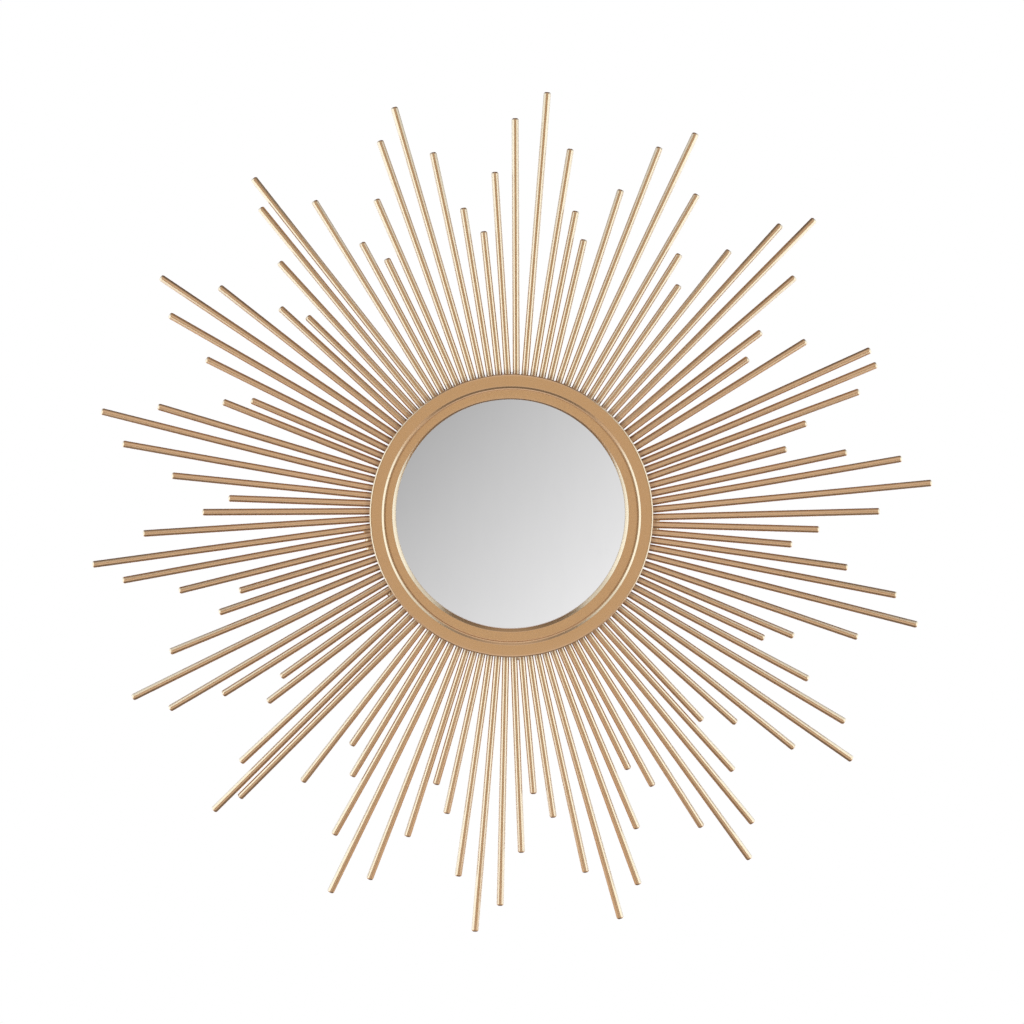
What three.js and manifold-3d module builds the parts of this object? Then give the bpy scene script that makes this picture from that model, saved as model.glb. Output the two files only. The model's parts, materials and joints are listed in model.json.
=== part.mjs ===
// A sunburst wall mirror, as it hangs. Millimetres: +X is to the viewer's right, +Z is up, the wall is the
// plane y = 0 and the mirror faces -Y. The origin lies on the wall, behind the centre of the crown of rays.
// A depth is a distance from the wall towards the viewer, so the depth d is the plane y = -d.
// A bearing is an angle in degrees, clockwise from the top as the viewer sees it.

import * as THREE from "three";
import { mergeVertices } from "three/addons/utils/BufferGeometryUtils.js";
import Module from "manifold-3d";

const wasm = await Module();
wasm.setup();

// ---- Driving dimensions -------------------------------------------------------------------------------

// Clearance left between pieces that touch on the real mirror.
const TOUCH_GAP = 0.3;

// Stack of depths, from the wall to the front. The hoop and the board share one rear plane.
const BACK_DEPTH = 4.8;
const HOOP_THICKNESS = 2.4;
const BOARD_THICKNESS = 5;
const CUSHION_THICKNESS = 2;
const GLASS_THICKNESS = 3;
const LIP_DEPTH = 6;
const FRONT_DEPTH = 25;

// Crown of rays: quarter-inch round bar welded side by side to the hoop. Every fan of six repeats the
// same reaches, measured from the crown's centre to the tip and listed clockwise.
const FANS = 18;
const RAY_REACHES = [352, 376.5, 329, 275.5, 252.5, 304.5];
const SHORT_RAY = { fan: 3, ray: 1, reach: 352 };
const RAY_DIAMETER = 6.35;
const RAY_SIDES = 8;
const RAY_TUCK = 9.5;
const RAY_TO_HOOP_GAP = 0.225;
const TIP_ROUND = { height: 2, shoulderRadius: 2.1, shoulderHeight: 1.5 };
const FIRST_BEARING = 1.6;

// How far each ray strays from its even station, in degrees clockwise, as welded by hand. ROOT_DRIFT is where
// the rays leave the frame: one value for the first ray of each fan, blended towards the next fan's.
// TIP_DRIFT is at the tips: one row for each fan, one value for each ray.
const ROOT_DRIFT = [0.5, 2, 3.5, 4, 4, 2.5, 3, 3, 1.5, 0.5, -0.5, -0.5, -0.5, -0.5, -1.5, -1, -1.5, -1];
const TIP_DRIFT = [
  [-1, 0, 1, 0.5, 0, 0.5],
  [0.5, 1, 2, 1.5, 1.5, 1.5],
  [1.5, 1, 2, 2.5, 2, 1.5],
  [4, 3, 2.5, 1.5, 2, 1.5],
  [0.5, 1, 1.5, 1.5, 1.5, 1],
  [0.5, 0.5, 1.5, 2, 1.5, 1],
  [0.5, 1, 1.5, 1.5, 2.5, 1],
  [0.5, 0.5, 0.5, 1, 0.5, 0],
  [-0.5, 0, 0, 0.5, 0.5, 0],
  [0, 0, 0, 0.5, 0.5, -0.5],
  [-0.5, 0.5, 0.5, -0.5, -0.5, -0.5],
  [2, 0, -1, 0.5, -0.5, -0.5],
  [-1.5, -1, -0.5, -0.5, -1, -1.5],
  [-1.5, -2, -1.5, -1.5, -2, -2],
  [-1.5, -1, -1.5, -0.5, -1.5, -1.5],
  [-1.5, -1, -0.5, 0, -1, -1],
  [-1, -2.5, -0.5, -0.5, -1, -1.5],
  [-1, -1, -0.5, -0.5, -0.5, -1],
];

// Weld seam that joins the six rays of a fan, out of sight under the frame.
const SEAM = { innerRadius: 118, outerRadius: 121, thickness: 2 };

// Flat hoop behind the rays.
const HOOP = { innerRadius: 109.5, outerRadius: 124, sides: 72 };

// Front frame: a flat band with a skirt that sits on the rays. It was fixed a little low.
const FRAME = { innerRadius: 112.8, bevelRadius: 115.5, outerRadius: 126.4, bandThickness: 3 };
const FRAME_BEVEL_HEIGHT = 2.4;
const FRAME_EDGE_ROUND = 1.2;
const SKIRT_THICKNESS = 1.4;
const FRAME_SHIFT = { x: 0.3, z: -2 };

// Bezel: a lower band inside the frame, with a lip that slopes down to the glass and a rim round it.
const BEZEL = { sightRadius: 102, lipRadius: 105.3, outerRadius: 118, bandThickness: 1.6 };
const BEZEL_RIM = { innerRadius: 105.7, outerRadius: 107.1, rearDepth: 5 };
const BEZEL_SHIFT = { x: -0.5, z: -0.7 };
const RING_SEGMENTS = 84;

// Discs inside the bezel's rim.
const GLASS_RADIUS = 104.3;
const CUSHION_RADIUS = 101;
const BOARD_RADIUS = 104;
const DISC_SEGMENTS = 72;

// Rubber bumpers that stand on the wall, and turn clips that hold the board, both on the hoop.
const HARDWARE_RADIUS = 116.5;
const BUMPER = { radius: 6, crownRadius: 5.2, crownHeight: 1, segments: 16 };
const BUMPER_BEARINGS = [45, 135, 225, 315];
const CLIP = { width: 9, inwards: 20, thickness: 1, endSteps: 6 };
const CLIP_BEARINGS = [0, 90, 180, 270];

// Pan-head screws, all alike but for their length. The head's side wall is rimHeight high, and above it
// the head narrows to crownRadius.
const SCREW = {
  headRadius: 3.2,
  headHeight: 1.7,
  rimHeight: 0.8,
  crownRadius: 2.3,
  shankRadius: 1.5,
  segments: 12,
};
const STRAP_SCREW_LENGTH = 6;
const SCREW_HOLE_RADIUS = 1.8;
const HOLE_SIDES = 12;

// D-ring hangers: a strap folded round the straight side of a wire ring, which hangs from it.
const HANGER = { x: 58, z: 46 };
const STRAP = { width: 11, length: 38, thickness: 0.7, loopInnerRadius: 1.4, loopSides: 16, loopSteps: 12 };
const STRAP_SCREW_DROPS = [18.5, 31];
const D_RING = { wireRadius: 1, halfWidth: 7.5, straight: 4, sides: 8, steps: 18, bendPoints: 8 };

const COLOURS = {
  gold: 0xbb946a,
  steel: 0x9a9c9e,
  glass: 0xc8c8c8,
  felt: 0x4a4a4c,
  board: 0x9b7b58,
  rubber: 0x1d1d1e,
};

// ---- Worked out from them -----------------------------------------------------------------------------

const raysPerFan = RAY_REACHES.length;
const rayRadius = RAY_DIAMETER / 2;
const rayDepth = BACK_DEPTH + HOOP_THICKNESS + RAY_TO_HOOP_GAP + rayRadius;
const cushionDepth = BACK_DEPTH + BOARD_THICKNESS + TOUCH_GAP;
const glassDepth = cushionDepth + CUSHION_THICKNESS + TOUCH_GAP;
const lipRearDepth = glassDepth + GLASS_THICKNESS + TOUCH_GAP;
const bezelFrontDepth = lipRearDepth + LIP_DEPTH;
const frameRearDepth = FRONT_DEPTH - FRAME.bandThickness;
const skirtRearDepth = rayDepth + rayRadius + TOUCH_GAP;
const hardwareDepth = BACK_DEPTH - TOUCH_GAP;
const loopOuterRadius = STRAP.loopInnerRadius + STRAP.thickness;
const ringAxisDepth = hardwareDepth - loopOuterRadius;

// ---- Helpers ------------------------------------------------------------------------------------------

function material(colour, roughness, metalness) {
  return new THREE.MeshStandardMaterial({ color: colour, roughness, metalness });
}

const gold = material(COLOURS.gold, 0.42, 0.85);
const steel = material(COLOURS.steel, 0.35, 0.9);
const silvered = material(COLOURS.glass, 0.05, 1);
const felt = material(COLOURS.felt, 0.95, 0);
const fibreboard = material(COLOURS.board, 0.85, 0);
const rubber = material(COLOURS.rubber, 0.8, 0);

function onBearing(radius, bearing, depth) {
  const angle = THREE.MathUtils.degToRad(bearing);
  return new THREE.Vector3(radius * Math.sin(angle), -depth, radius * Math.cos(angle));
}

function toSolid(geometry) {
  const bare = geometry.index ? geometry.toNonIndexed() : geometry.clone();
  bare.deleteAttribute("normal");
  bare.deleteAttribute("uv");
  const merged = mergeVertices(bare, 1e-4);
  const vertProperties = merged.attributes.position.array;
  const triVerts = new Uint32Array(merged.index.array);
  return new wasm.Manifold(new wasm.Mesh({ numProp: 3, vertProperties, triVerts }));
}

function toGeometry(solid) {
  const { vertProperties, triVerts } = solid.getMesh();
  const indexed = new THREE.BufferGeometry();
  indexed.setAttribute("position", new THREE.BufferAttribute(vertProperties, 3));
  indexed.setIndex(new THREE.BufferAttribute(triVerts, 1));
  const geometry = indexed.toNonIndexed();
  geometry.computeVertexNormals();
  return geometry;
}

function joined(geometries) {
  const solids = geometries.map(toSolid);
  return toGeometry(solids.reduce((whole, next) => whole.add(next)));
}

// A solid turned about the Y axis. The profile is a list of [radius, depth] and runs clockwise where
// radius points right and depth points up.
function turned(profile, segments, phiStart = 0) {
  const closed = [...profile];
  if (profile[0][0] !== 0) closed.push(profile[0]);
  const points = closed.map(([radius, depth]) => new THREE.Vector2(radius, -depth));
  return new THREE.LatheGeometry(points, segments, phiStart);
}

function polygon(radius, sides, x = 0, z = 0) {
  return Array.from({ length: sides }, (_, i) => {
    const angle = (i / sides) * 2 * Math.PI;
    return new THREE.Vector2(x + radius * Math.cos(angle), z + radius * Math.sin(angle));
  });
}

// A flat plate from an outline in X and Z, from rearDepth towards the viewer.
function plate(outline, holes, rearDepth, thickness) {
  const shape = new THREE.Shape(outline);
  shape.holes = holes.map((hole) => new THREE.Path(hole));
  const geometry = new THREE.ExtrudeGeometry(shape, { depth: thickness, bevelEnabled: false });
  return geometry.rotateX(Math.PI / 2).translate(0, -rearDepth, 0);
}

function screwHole(x, z) {
  return polygon(SCREW_HOLE_RADIUS, HOLE_SIDES, x, z);
}

const mirror = new THREE.Group();

function piece(name, geometry, finish, parent = mirror) {
  const mesh = new THREE.Mesh(geometry, finish);
  mesh.name = name;
  parent.add(mesh);
  return mesh;
}

// ---- Crown of rays ------------------------------------------------------------------------------------

// The inner end and the tip of one ray's axis.
function rayAxis(fan, ray) {
  const station = FIRST_BEARING + (360 / (FANS * raysPerFan)) * (fan * raysPerFan + ray);
  const nextFan = (fan + 1) % FANS;
  const rootDrift = THREE.MathUtils.lerp(ROOT_DRIFT[fan], ROOT_DRIFT[nextFan], ray / raysPerFan);
  const isShort = fan === SHORT_RAY.fan && ray === SHORT_RAY.ray;
  const reach = isShort ? SHORT_RAY.reach : RAY_REACHES[ray];
  const root = onBearing(FRAME.outerRadius, station + rootDrift, rayDepth);
  const tip = onBearing(reach, station + TIP_DRIFT[fan][ray], rayDepth);
  const outwards = tip.clone().sub(root).normalize();
  return { start: root.addScaledVector(outwards, -RAY_TUCK), tip, outwards, bearing: station + rootDrift };
}

// A bar with a rounded tip. Its sides are turned so that one of them faces straight forward.
function rayBar({ start, tip, outwards }) {
  const length = tip.distanceTo(start);
  const roundStart = length - TIP_ROUND.height;
  const profile = [
    [0, 0],
    [rayRadius, 0],
    [rayRadius, roundStart],
    [TIP_ROUND.shoulderRadius, roundStart + TIP_ROUND.shoulderHeight],
    [0, length],
  ];
  const points = profile.map(([radius, along]) => new THREE.Vector2(radius, along));
  const bar = new THREE.LatheGeometry(points, RAY_SIDES, Math.PI / RAY_SIDES);
  const forward = new THREE.Vector3(0, -1, 0);
  const sideways = outwards.clone().cross(forward);
  const placing = new THREE.Matrix4().makeBasis(sideways, outwards, forward).setPosition(start);
  return bar.applyMatrix4(placing);
}

function weldSeam(firstBearing, lastBearing) {
  const steps = raysPerFan * 2;
  const arc = (radius) =>
    Array.from({ length: steps + 1 }, (_, i) => {
      const at = onBearing(radius, THREE.MathUtils.lerp(firstBearing, lastBearing, i / steps), 0);
      return new THREE.Vector2(at.x, at.z);
    });
  const outline = [...arc(SEAM.outerRadius), ...arc(SEAM.innerRadius).reverse()];
  return plate(outline, [], rayDepth - SEAM.thickness / 2, SEAM.thickness);
}

function addRayFans() {
  for (let fan = 0; fan < FANS; fan++) {
    const rays = RAY_REACHES.map((_, ray) => rayAxis(fan, ray));
    const seam = weldSeam(rays[0].bearing, rays[raysPerFan - 1].bearing);
    const name = "ray_fan_" + String(fan + 1).padStart(2, "0");
    piece(name, joined([...rays.map(rayBar), seam]), gold);
  }
}

function addHoop() {
  const holes = CLIP_BEARINGS.map((bearing) => {
    const at = onBearing(HARDWARE_RADIUS, bearing, 0);
    return screwHole(at.x, at.z);
  });
  holes.push(polygon(HOOP.innerRadius, HOOP.sides));
  const rim = polygon(HOOP.outerRadius, HOOP.sides);
  piece("weld_hoop", plate(rim, holes, BACK_DEPTH, HOOP_THICKNESS), gold);
}

// ---- Frame and bezel ----------------------------------------------------------------------------------

function addFrontFrame() {
  const edge = FRAME.outerRadius;
  const profile = [
    [FRAME.innerRadius, frameRearDepth],
    [FRAME.innerRadius, FRONT_DEPTH - FRAME_BEVEL_HEIGHT],
    [FRAME.bevelRadius, FRONT_DEPTH],
    [edge - FRAME_EDGE_ROUND, FRONT_DEPTH],
    [edge, FRONT_DEPTH - FRAME_EDGE_ROUND],
    [edge, skirtRearDepth],
    [edge - SKIRT_THICKNESS, skirtRearDepth],
    [edge - SKIRT_THICKNESS, frameRearDepth],
  ];
  const frame = piece("front_frame", turned(profile, RING_SEGMENTS), gold);
  frame.position.set(FRAME_SHIFT.x, 0, FRAME_SHIFT.z);
}

function addBezel() {
  const bandRearDepth = bezelFrontDepth - BEZEL.bandThickness;
  const profile = [
    [BEZEL.sightRadius, lipRearDepth],
    [BEZEL.lipRadius, bezelFrontDepth],
    [BEZEL.outerRadius, bezelFrontDepth],
    [BEZEL.outerRadius, bandRearDepth],
    [BEZEL_RIM.outerRadius, bandRearDepth],
    [BEZEL_RIM.outerRadius, BEZEL_RIM.rearDepth],
    [BEZEL_RIM.innerRadius, BEZEL_RIM.rearDepth],
    [BEZEL_RIM.innerRadius, lipRearDepth],
  ];
  const bezel = piece("bezel_ring", turned(profile, RING_SEGMENTS), gold);
  bezel.position.set(BEZEL_SHIFT.x, 0, BEZEL_SHIFT.z);
}

// ---- Glass, cushion and board -------------------------------------------------------------------------

function disc(radius, rearDepth, thickness) {
  const frontDepth = rearDepth + thickness;
  const profile = [
    [0, frontDepth],
    [radius, frontDepth],
    [radius, rearDepth],
    [0, rearDepth],
  ];
  return turned(profile, DISC_SEGMENTS);
}

function addDiscs() {
  piece("mirror_glass", disc(GLASS_RADIUS, glassDepth, GLASS_THICKNESS), silvered);
  piece("glass_cushion", disc(CUSHION_RADIUS, cushionDepth, CUSHION_THICKNESS), felt);
  const holes = [-HANGER.x, HANGER.x].flatMap((x) =>
    STRAP_SCREW_DROPS.map((drop) => screwHole(x, HANGER.z - drop)),
  );
  const rim = polygon(BOARD_RADIUS, DISC_SEGMENTS);
  piece("backing_board", plate(rim, holes, BACK_DEPTH, BOARD_THICKNESS), fibreboard);
}

// ---- Hardware on the back -----------------------------------------------------------------------------

// A screw driven towards the viewer: its head is at depths below seatDepth, its shank above.
function screw(seatDepth, length) {
  const pointDepth = seatDepth + length;
  const crownDepth = seatDepth - SCREW.headHeight;
  const profile = [
    [0, pointDepth],
    [SCREW.shankRadius, pointDepth],
    [SCREW.shankRadius, seatDepth],
    [SCREW.headRadius, seatDepth],
    [SCREW.headRadius, seatDepth - SCREW.rimHeight],
    [SCREW.crownRadius, crownDepth],
    [0, crownDepth],
  ];
  return turned(profile, SCREW.segments);
}

function addBumpers() {
  BUMPER_BEARINGS.forEach((bearing, i) => {
    const profile = [
      [0, hardwareDepth],
      [BUMPER.radius, hardwareDepth],
      [BUMPER.radius, BUMPER.crownHeight],
      [BUMPER.crownRadius, 0],
      [0, 0],
    ];
    const bumper = piece("wall_bumper_" + (i + 1), turned(profile, BUMPER.segments), rubber);
    bumper.position.copy(onBearing(HARDWARE_RADIUS, bearing, 0));
  });
}

// A turn clip with round ends: one end is screwed to the hoop, the other lies over the board.
function clipOutline() {
  const half = CLIP.width / 2;
  const roundEnd = (z, from) =>
    Array.from({ length: CLIP.endSteps + 1 }, (_, i) => {
      const angle = from + (i / CLIP.endSteps) * Math.PI;
      return new THREE.Vector2(half * Math.cos(angle), z + half * Math.sin(angle));
    });
  return [...roundEnd(0, 0), ...roundEnd(-CLIP.inwards, Math.PI)];
}

function addClips() {
  const seatDepth = hardwareDepth - CLIP.thickness;
  CLIP_BEARINGS.forEach((bearing, i) => {
    const clip = new THREE.Group();
    clip.position.copy(onBearing(HARDWARE_RADIUS, bearing, 0));
    clip.rotation.y = THREE.MathUtils.degToRad(bearing);
    mirror.add(clip);
    const body = plate(clipOutline(), [screwHole(0, 0)], seatDepth, CLIP.thickness);
    piece("board_clip_" + (i + 1), body, steel, clip);
    const reach = BACK_DEPTH + HOOP_THICKNESS - seatDepth;
    piece("clip_screw_" + (i + 1), screw(seatDepth - TOUCH_GAP, reach), steel, clip);
  });
}

// Side view of the strap: a flat tail that rolls over at the top into a loop round the ring's bar.
function strapGeometry() {
  const inner = STRAP.loopInnerRadius;
  const meet = Math.acos(inner / loopOuterRadius);
  const outline = new THREE.Shape();
  outline.moveTo(loopOuterRadius, -STRAP.length);
  outline.lineTo(loopOuterRadius, 0);
  outline.absarc(0, 0, loopOuterRadius, 0, 2 * Math.PI - meet, false);
  outline.lineTo(inner, -STRAP.length);
  outline.closePath();
  outline.holes = [new THREE.Path(polygon(inner, STRAP.loopSides))];
  const extrusion = { depth: STRAP.width, bevelEnabled: false, curveSegments: STRAP.loopSteps };
  const folded = new THREE.ExtrudeGeometry(outline, extrusion);
  // The outline's x becomes depth, its y stays up, and the extrusion runs along X.
  folded.translate(0, 0, -STRAP.width / 2).applyMatrix4(
    new THREE.Matrix4().makeBasis(
      new THREE.Vector3(0, -1, 0),
      new THREE.Vector3(0, 0, 1),
      new THREE.Vector3(-1, 0, 0),
    ),
  );
  const drills = STRAP_SCREW_DROPS.map((drop) =>
    toSolid(plate(screwHole(0, -drop), [], 0, 2 * loopOuterRadius)),
  );
  return toGeometry(drills.reduce((strap, drill) => strap.subtract(drill), toSolid(folded)));
}

// The ring hangs from its straight bar, which lies on the local X axis.
function dRingGeometry() {
  const { wireRadius, halfWidth, straight, sides, steps, bendPoints } = D_RING;
  const bend = Array.from({ length: bendPoints + 1 }, (_, i) => {
    const angle = Math.PI + (i / bendPoints) * Math.PI;
    return new THREE.Vector3(halfWidth * Math.cos(angle), 0, -straight + halfWidth * Math.sin(angle));
  });
  const ends = [new THREE.Vector3(-halfWidth, 0, 0), new THREE.Vector3(halfWidth, 0, 0)];
  const path = new THREE.CatmullRomCurve3([ends[0], ...bend, ends[1]]);
  const section = new THREE.Shape(polygon(wireRadius, sides));
  const bow = new THREE.ExtrudeGeometry(section, { steps, bevelEnabled: false, extrudePath: path });
  const barLength = 2 * (halfWidth + wireRadius);
  const bar = new THREE.CylinderGeometry(wireRadius, wireRadius, barLength, sides).rotateZ(Math.PI / 2);
  return joined([bar, bow]);
}

function addHangers() {
  const headSeat = STRAP.loopInnerRadius - TOUCH_GAP;
  const sides = { left: -HANGER.x, right: HANGER.x };
  for (const [side, x] of Object.entries(sides)) {
    const hanger = new THREE.Group();
    hanger.position.set(x, -ringAxisDepth, HANGER.z);
    mirror.add(hanger);
    piece("hanger_strap_" + side, strapGeometry(), steel, hanger);
    piece("hanger_ring_" + side, dRingGeometry(), steel, hanger);
    STRAP_SCREW_DROPS.forEach((drop, i) => {
      const name = "hanger_screw_" + side + "_" + (i + 1);
      const fixing = piece(name, screw(headSeat, STRAP_SCREW_LENGTH), steel, hanger);
      fixing.position.z = -drop;
    });
  }
}

addRayFans();
addHoop();
addFrontFrame();
addBezel();
addDiscs();
addBumpers();
addClips();
addHangers();

export default mirror;
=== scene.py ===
"""Looks of the sunburst wall mirror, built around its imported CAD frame.

+Z is up, the wall is the plane y = 0 and the mirror faces -Y. A depth is a distance from the wall towards
the viewer. A bearing is an angle clockwise from the top, as the viewer sees it. Shapes are worked out in
millimetres, and add_piece turns them into metres.
"""

import json
import math

import bmesh
import bpy
from mathutils import Matrix, Vector, noise

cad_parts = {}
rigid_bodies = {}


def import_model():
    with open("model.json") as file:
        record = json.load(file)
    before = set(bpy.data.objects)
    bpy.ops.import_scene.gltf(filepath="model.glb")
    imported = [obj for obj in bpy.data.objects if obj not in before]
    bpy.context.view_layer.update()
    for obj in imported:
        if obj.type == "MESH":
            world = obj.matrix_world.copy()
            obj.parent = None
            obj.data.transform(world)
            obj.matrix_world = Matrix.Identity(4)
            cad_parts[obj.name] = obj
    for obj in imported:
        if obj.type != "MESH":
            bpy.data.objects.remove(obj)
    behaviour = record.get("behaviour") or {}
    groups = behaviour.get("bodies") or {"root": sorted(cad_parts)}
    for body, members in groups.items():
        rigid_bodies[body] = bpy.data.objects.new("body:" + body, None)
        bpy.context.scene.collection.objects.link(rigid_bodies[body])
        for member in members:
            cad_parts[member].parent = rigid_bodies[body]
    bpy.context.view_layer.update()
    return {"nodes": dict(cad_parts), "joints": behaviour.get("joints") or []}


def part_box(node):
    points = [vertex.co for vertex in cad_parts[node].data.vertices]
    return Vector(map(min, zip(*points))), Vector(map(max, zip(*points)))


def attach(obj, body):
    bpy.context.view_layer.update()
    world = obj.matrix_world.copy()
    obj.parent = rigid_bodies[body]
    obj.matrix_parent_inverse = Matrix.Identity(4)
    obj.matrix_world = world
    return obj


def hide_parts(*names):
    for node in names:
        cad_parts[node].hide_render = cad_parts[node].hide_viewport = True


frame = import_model()

MM = 0.001
FORWARD = Vector((0, -1, 0))


def box_mm(node):
    """A CAD node's lowest and highest corner, in millimetres."""
    low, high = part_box(node)
    return low / MM, high / MM


def middle_mm(node):
    low, high = box_mm(node)
    return (low + high) / 2


# ---- Sizes ----------------------------------------------------------------------------------------------

# Camera: far off and a little above, as a product is shot.
VIEW_DISTANCE = 9.0
VIEW_ELEVATION = 3
VIEW_WIDTH = 0.9134
VIEW_TARGET = (0.00085, 0.0007)
SENSOR_WIDTH = 36

# Floor, in metres: a pale disc well below the mirror.
FLOOR_RADIUS = 2.0
FLOOR_DROP = 2.0
FLOOR_SIDES = 96

# Rays. The CAD rays are eight-sided with a side facing forward, so their radius is to the corners.
FAN_NODES = sorted(name for name in frame["nodes"] if name.startswith("ray_fan_"))
RAYS_PER_FAN = 6
RAY_Y = middle_mm(FAN_NODES[0]).y
RAY_RADIUS = (box_mm(FAN_NODES[0])[1].y - RAY_Y) / math.cos(math.pi / 8)
RAY_SIDES = 24
TIP_ROUND = 2.0
TIP_STEPS = 6
INNER_CHAMFER = 0.4

# Front frame and bezel, as widths in from the outer radius and depths back from the front. The two margins
# keep a row of points beside each rounded edge, so that the flat of a band shades as flat.
RING_SEGMENTS = 288
FLAT_MARGIN = 1.6
FLAT_END_MARGIN = 1.3
CREASE_ROUND = 0.8
SMALL_ROUND = 0.3
FRAME_BAND = 10.9
FRAME_BEVEL = 2.7
FRAME_BEVEL_DEPTH = 1.2
FRAME_BEVEL_FOOT = 0.9
FRAME_FOOT_DROP = 0.12
FRAME_FOOT_ROUND = 0.05
FRAME_PLATE = 3.0
FRAME_SKIRT = 1.4
FRAME_SKIRT_ROUND = 0.5
FRAME_EDGE_ROUND = 1.3
BEZEL_BAND = 12.7
BEZEL_LIP = 3.3
BEZEL_LIP_DEPTH = 6.0
BEZEL_LIP_SLOPE = 2.7
BEZEL_LIP_WALL = 0.2
BEZEL_LIP_ROUND = 0.2
BEZEL_TOP_OVERHANG = 1.9
OVERHANG_FADE = 1.5
BEZEL_PLATE = 1.6
BEZEL_RIM_OUT = 10.9
BEZEL_RIM_IN = 12.3
CORNER_MARGIN = 0.5

# The bezel's front rolls down a little where it passes under the frame. Points across it carry the shape.
ROLL_WIDTH = 1.1
ROLL_DEPTH = 0.14
ROLL_REACH = 2.6
ROLL_SPACING = 0.25
ROLL_POINTS = 16

# Pressed metal isn't quite true. The frame's outer edge strays in and out by lumps of (size, scale), with a
# limit on how far out, and turns back a little. The fronts dip in slow waves of (size, scale).
EDGE_REACH = 3
EDGE_LUMPS = ((0.28, 17), (0.16, 41))
EDGE_MOST_OUT = 0.1
EDGE_TURN_BACK = 0.12
FRAME_WAVES = (0.12, 5)
BEZEL_WAVES = (0.1, 6)
BEZEL_WAVE_SHIFT = Vector((0.5, 0, 0))
HOOP_WAVES = (0.15, 9)

# Welds: a bead behind each ray at the hoop's edge, and webs that show between rays beside the frame. Their
# axes are across the ray, towards the viewer and along the ray.
BEAD_AXES = (3.4, 1.7, 2.0)
BEAD_OUT = 0.4
BEAD_AHEAD = 0.3
BEAD_LUMPS = 0.35
BEAD_SEED_STEP = 3.1
WEB_BEARINGS = (94.5, 97.5, 177, 234.5, 237.5, 254.5, 258, 261, 264)
WEB_BEARING_REACH = 1.6
WEB_RADIUS = 128.2
WEB_AXES = (2.6, 1.7, 4.6)
WEB_AHEAD = 0.6
WEB_LUMPS = 0.5
WEB_SEED_STEP = 5.7
BLOB_SLICES = 8
BLOB_SIDES = 14
BLOB_LUMP_SCALE = 1.7

# How much the edges of the flat discs are rounded.
DISC_EDGE_STEPS = 3
GLASS_EDGE = 0.4
CUSHION_EDGE = 0.5
BOARD_EDGE = 0.5

# Hardware on the back.
HOOP_WIDTH = 14.5
HOOP_REAR_ROUND = 0.5
CLIP_LENGTH = 20
CLIP_HALF_WIDTH = 4.5
CLIP_END_STEPS = 16
CLIP_SOFT_EDGE = 0.25
STRAP_THICKNESS = 0.7
STRAP_CORNER = 3.0
STRAP_CORNER_STEPS = 8
STRAP_SOFT_EDGE = 0.15
LOOP_RADIUS = 1.75
LOOP_TURN = 300
LOOP_STEPS = 32
RING_WIRE = 1.0
RING_WIRE_SIDES = 16
RING_HALF_WIDTH = 7.5
RING_STRAIGHT = 4.0
RING_CORNER = 1.8
RING_CORNER_STEPS = 5
RING_BOW_STEPS = 24
BUMPER_ROUND = 1.4
BUMPER_ROUND_STEPS = 6
SMALL_SIDES = 48

# Screws. The recess is two crossed blades of (depth from the crown, half length, half width), given at the
# top and at the foot. Each screw is turned on from the one before it.
SCREW_CROWN = 0.9
SCREW_HEAD_RADIUS = 3.2
SCREW_HEAD_ROUND = 1.1
SCREW_HEAD_STEPS = 6
SCREW_HEAD_HEIGHT = 1.7
SCREW_SHANK = 1.5
RECESS_TOP = (-0.5, 1.75, 0.34)
RECESS_FOOT = (1.25, 0.75, 0.2)
FIRST_SCREW_TURN = 20
SCREW_TURN_STEP = 37

# Shade on the rays beside the frame, by the distance from the frame's edge: none up to the edge, full from
# SHADE_START to SHADE_FULL, and none again from SHADE_END.
SHADE_START = 0.3
SHADE_FULL = 1.2
SHADE_END = 6.0
SHADE_STRENGTH = 0.4


# ---- Lights ---------------------------------------------------------------------------------------------

# Side panels, in metres, as (height of the middle, height, radiance, tint). Each stands on both sides of
# the mirror, and reaches from PANEL_NEAR, in front of the wall, to PANEL_FAR, behind it.
PANEL_OFF = 1.0
PANEL_NEAR = -1.45
PANEL_FAR = 0.75
COOL = (0.6, 0.98, 1.62)
NEARLY_PLAIN = (0.92, 0.93, 1.05)
PANELS = ((-0.05, 1.2, 2.6, COOL), (0.9, 0.7, 1.6, COOL), (-1.0, 0.7, 0.8, NEARLY_PLAIN))

# The light all round. A span is where a change starts and ends: in degrees of height (TALL_HEIGHTS and
# TALL_FADE), in degrees off straight ahead (FALL, EDGE and BACK), or as a part of a unit direction.
FRONT_LIGHT = (0.955, 0.93, 0.865, 1)
TALL_LIGHT = (1.20, 1.32, 1.68, 1)
TALL_HEIGHTS = (6, 18)
TALL_SIDES = (0.4, 0.62)
TALL_FADE = (30, 75)
TALL_FADE_END = 0.35
FALL_SPAN = (30, 95)
FALL_END = 0.46
ASIDE_SPAN = (0.1, 0.32)
ASIDE_END = 0.48
EDGE_SPAN = (88, 112)
REAR_LOW = 0.44
REAR_HIGH_CHANGE = -0.34
HORIZON_SPAN = (-0.15, 0.15)
BACK_SPAN = (128, 160)
BACK_LIGHT = 1.25

# What the glass shows from the front: a grey, how it changes to the right and upwards, its darkest and its
# brightest, and how far off straight ahead it gives way to the light all round.
GLASS_GREY = 0.685
GLASS_RIGHT = 13.1
GLASS_UP = -12.0
GLASS_DARKEST = 0.43
GLASS_BRIGHTEST = 0.9
GLASS_SPAN = (0.02, 0.045)


# ---- Mesh helpers ---------------------------------------------------------------------------------------

def on_bearing(radius, bearing, depth):
    angle = math.radians(bearing)
    return Vector((radius * math.sin(angle), -depth, radius * math.cos(angle)))


def bearing_of(point):
    return math.degrees(math.atan2(point.x, point.z)) % 360


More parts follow.
